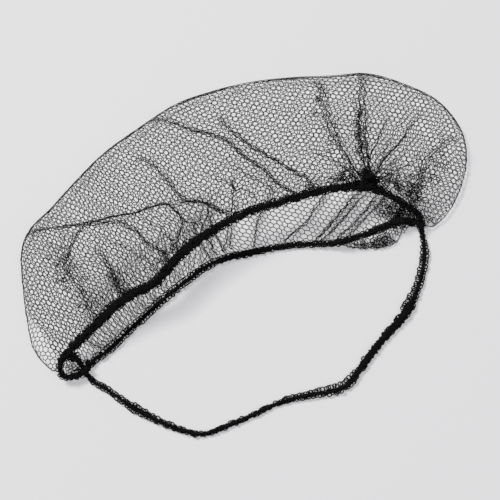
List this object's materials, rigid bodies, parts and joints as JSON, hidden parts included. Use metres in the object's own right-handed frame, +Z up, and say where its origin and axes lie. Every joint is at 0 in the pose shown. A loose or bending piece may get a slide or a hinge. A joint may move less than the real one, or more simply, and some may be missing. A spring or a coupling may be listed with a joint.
{
  "type": "beard cover",
  "caption": "Black net beard cover lying open: a soft honeycomb-net pouch with an elastic knitted rim, sewn end gathers and a gathered elastic head strap.",
  "frame": {"origin": "middle of the footprint of the whole cover, on the surface that it lies on", "axes": "+X from the rim's left end to its right end, +Y from the mouth to the back of the pouch, the strap towards -Y, +Z up"},
  "size_m": [0.2918, 0.204, 0.0268],
  "materials": {
    "black_net": "fine open nylon honeycomb net with a faint sheen",
    "black_elastic": "gathered knitted elastic, dull and slightly fuzzy"
  },
  "bodies": {
    "root": {"net_pouch": "black_net", "upper_rim": "black_elastic", "lower_rim": "black_elastic", "head_strap": "black_elastic", "left_end_gather": "black_elastic", "right_end_gather": "black_elastic"}
  },
  "joints": []
}
